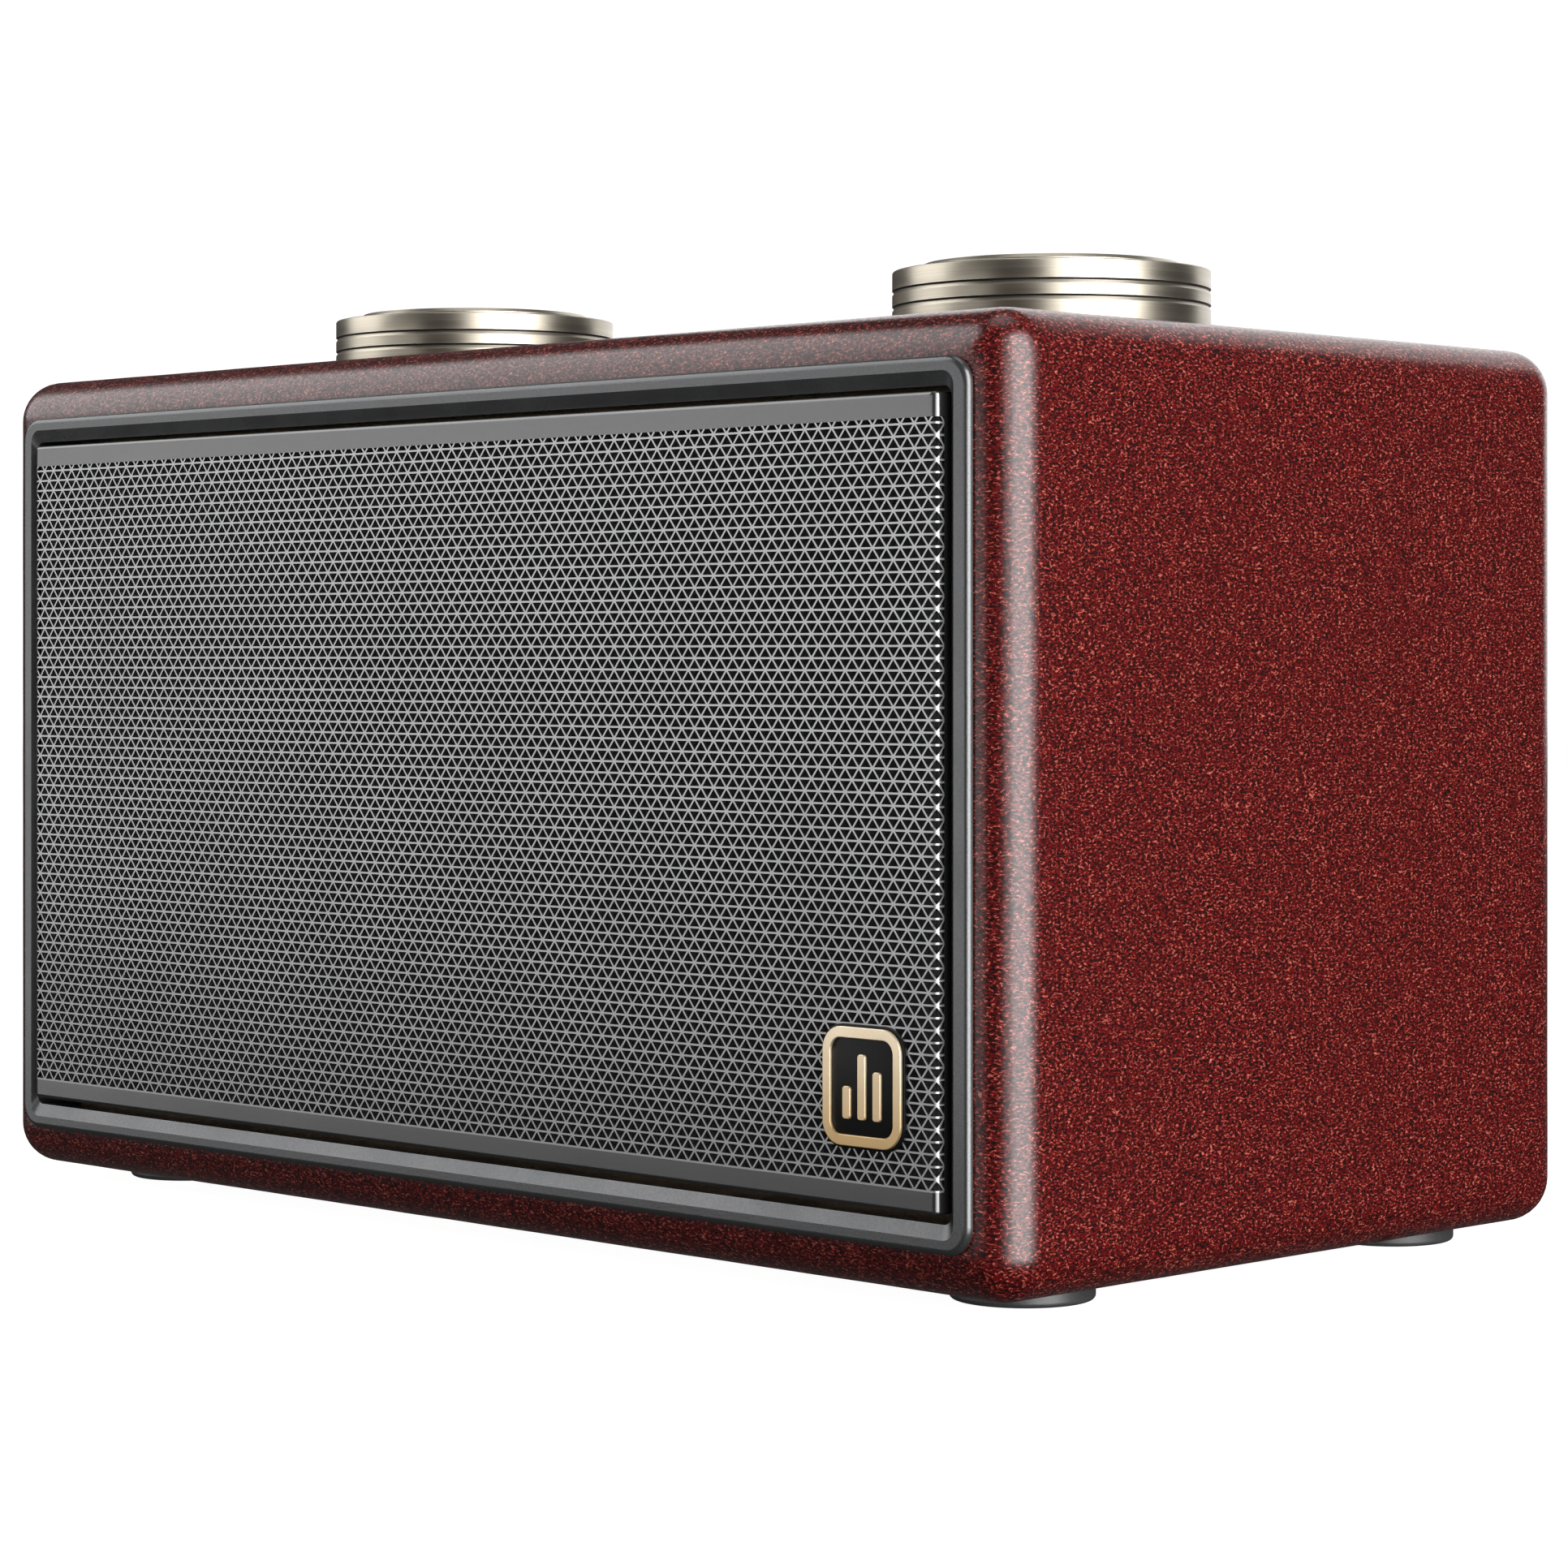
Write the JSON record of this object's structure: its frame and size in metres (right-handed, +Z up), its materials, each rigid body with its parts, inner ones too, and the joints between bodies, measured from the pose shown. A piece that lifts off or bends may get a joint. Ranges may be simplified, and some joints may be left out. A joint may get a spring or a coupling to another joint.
{
  "type": "portable radio",
  "caption": "Leather-wrapped tabletop portable radio with a framed perforated metal grille, turned metal top knobs, round rubber feet and a ported rear panel.",
  "frame": {"origin": "under the middle of the box, on the surface that the feet stand on", "axes": "+X to the listener's right along the box's length, -Y out of the grille, +Z up"},
  "size_m": [0.26, 0.1494, 0.1666],
  "materials": {
    "cabinet_board": "raw fibreboard",
    "leather": "fine wrinkled grain, semi-gloss dark red",
    "bezel_grey": "satin dark grey",
    "grille_steel": "satin grey perforated sheet",
    "frame_plastic": "matte black moulded",
    "cloth": "black acoustic cloth",
    "badge_black": "gloss black",
    "badge_gold": "satin pale gold",
    "screw_steel": "dark plated",
    "rear_plastic": "fine-textured black",
    "jack_metal": "brushed dark anodised",
    "board_green": "solder-masked circuit board",
    "socket_steel": "plated steel",
    "socket_black": "moulded black",
    "lamp_clear": "translucent light guide",
    "standoff_brass": "turned",
    "heatsink": "extruded",
    "cell_wrap": "shrink-wrapped cell",
    "copper": "copper",
    "control_case": "moulded case",
    "shaft_metal": "turned",
    "knob_metal": "satin turned, warm nickel tone",
    "basket_metal": "black pressed frame",
    "magnet": "ferrite ring between steel plates",
    "cone_paper": "pressed paper cone",
    "surround_rubber": "butyl rubber",
    "spider_cloth": "resin-stiffened cloth",
    "foot_rubber": "dark grey rubber",
    "lead_cover": "insulated lead"
  },
  "bodies": {
    "cabinet": {"amplifier_heatsink": "heatsink", "antenna_foil": "copper", "aux_socket": "socket_black", "badge_emblem": "badge_gold", "badge_plate": "badge_black", "bass_port": "rear_plastic", "battery_cells": "cell_wrap", "battery_holder": "frame_plastic", "board_screws": "screw_steel", "board_standoffs": "standoff_brass", "bracket_screws": "screw_steel", "bushing_nuts": "standoff_brass", "cabinet_shell": "cabinet_board", "charge_lamp": "lamp_clear", "charge_socket": "socket_steel", "driver_screws": "screw_steel", "foot_screws": "screw_steel", "front_baffle": "cabinet_board", "front_bezel": "bezel_grey", "front_left_foot": "foot_rubber", "front_right_foot": "foot_rubber", "grille_cloth": "cloth", "grille_frame": "frame_plastic", "grille_panel": "grille_steel", "jack_board": "board_green", "jack_plate": "jack_metal", "jack_plate_screws": "screw_steel", "leather_wrap": "leather", "left_driver_basket": "basket_metal", "left_driver_magnet": "magnet", "left_driver_spider": "spider_cloth", "left_driver_surround": "surround_rubber", "main_board": "board_green", "radio_module": "socket_steel", "rear_left_foot": "foot_rubber", "rear_panel": "rear_plastic", "rear_panel_screws": "screw_steel", "rear_right_foot": "foot_rubber", "right_driver_basket": "basket_metal", "right_driver_magnet": "magnet", "right_driver_spider": "spider_cloth", "right_driver_surround": "surround_rubber", "switch_housing": "socket_steel", "tuning_bracket": "socket_steel", "tuning_encoder": "control_case", "volume_bracket": "socket_steel", "volume_potentiometer": "control_case", "wiring_harness": "lead_cover"},
    "volume_knob": {"volume_knob": "knob_metal", "volume_knob_hub": "frame_plastic", "volume_shaft": "shaft_metal"},
    "tuning_plunger": {"tuning_plunger": "socket_black"},
    "tuning_knob": {"tuning_knob": "knob_metal", "tuning_knob_hub": "frame_plastic", "tuning_shaft": "shaft_metal"},
    "power_slider": {"switch_slider": "socket_black"},
    "left_cone": {"left_driver_cone": "cone_paper", "left_voice_coil": "copper"},
    "right_cone": {"right_driver_cone": "cone_paper", "right_voice_coil": "copper"}
  },
  "joints": [
    {"name": "volume_turn", "type": "hinge", "parent": "cabinet", "child": "volume_knob", "pos_m": [-0.0751, 0, 0.158], "axis": [0, 0, 1], "range_deg": [-150, 150]},
    {"name": "tuning_press", "type": "slide", "parent": "cabinet", "child": "tuning_plunger", "axis": [0, 0, -1], "range_m": [0, 0.0005], "stiffness_N_per_m": 4000, "springref_m": -0.0008},
    {"name": "tuning_turn", "type": "hinge", "parent": "tuning_plunger", "child": "tuning_knob", "pos_m": [0.0751, 0, 0.158], "axis": [0, 0, 1], "continuous": true},
    {"name": "power_slide", "type": "slide", "parent": "cabinet", "child": "power_slider", "axis": [1, 0, 0], "range_m": [0, 0.004]},
    {"name": "left_cone_travel", "type": "slide", "parent": "cabinet", "child": "left_cone", "axis": [0, -1, 0], "range_m": [-0.0015, 0.0015], "stiffness_N_per_m": 600},
    {"name": "right_cone_travel", "type": "slide", "parent": "cabinet", "child": "right_cone", "axis": [0, -1, 0], "range_m": [-0.0015, 0.0015], "stiffness_N_per_m": 600}
  ]
}
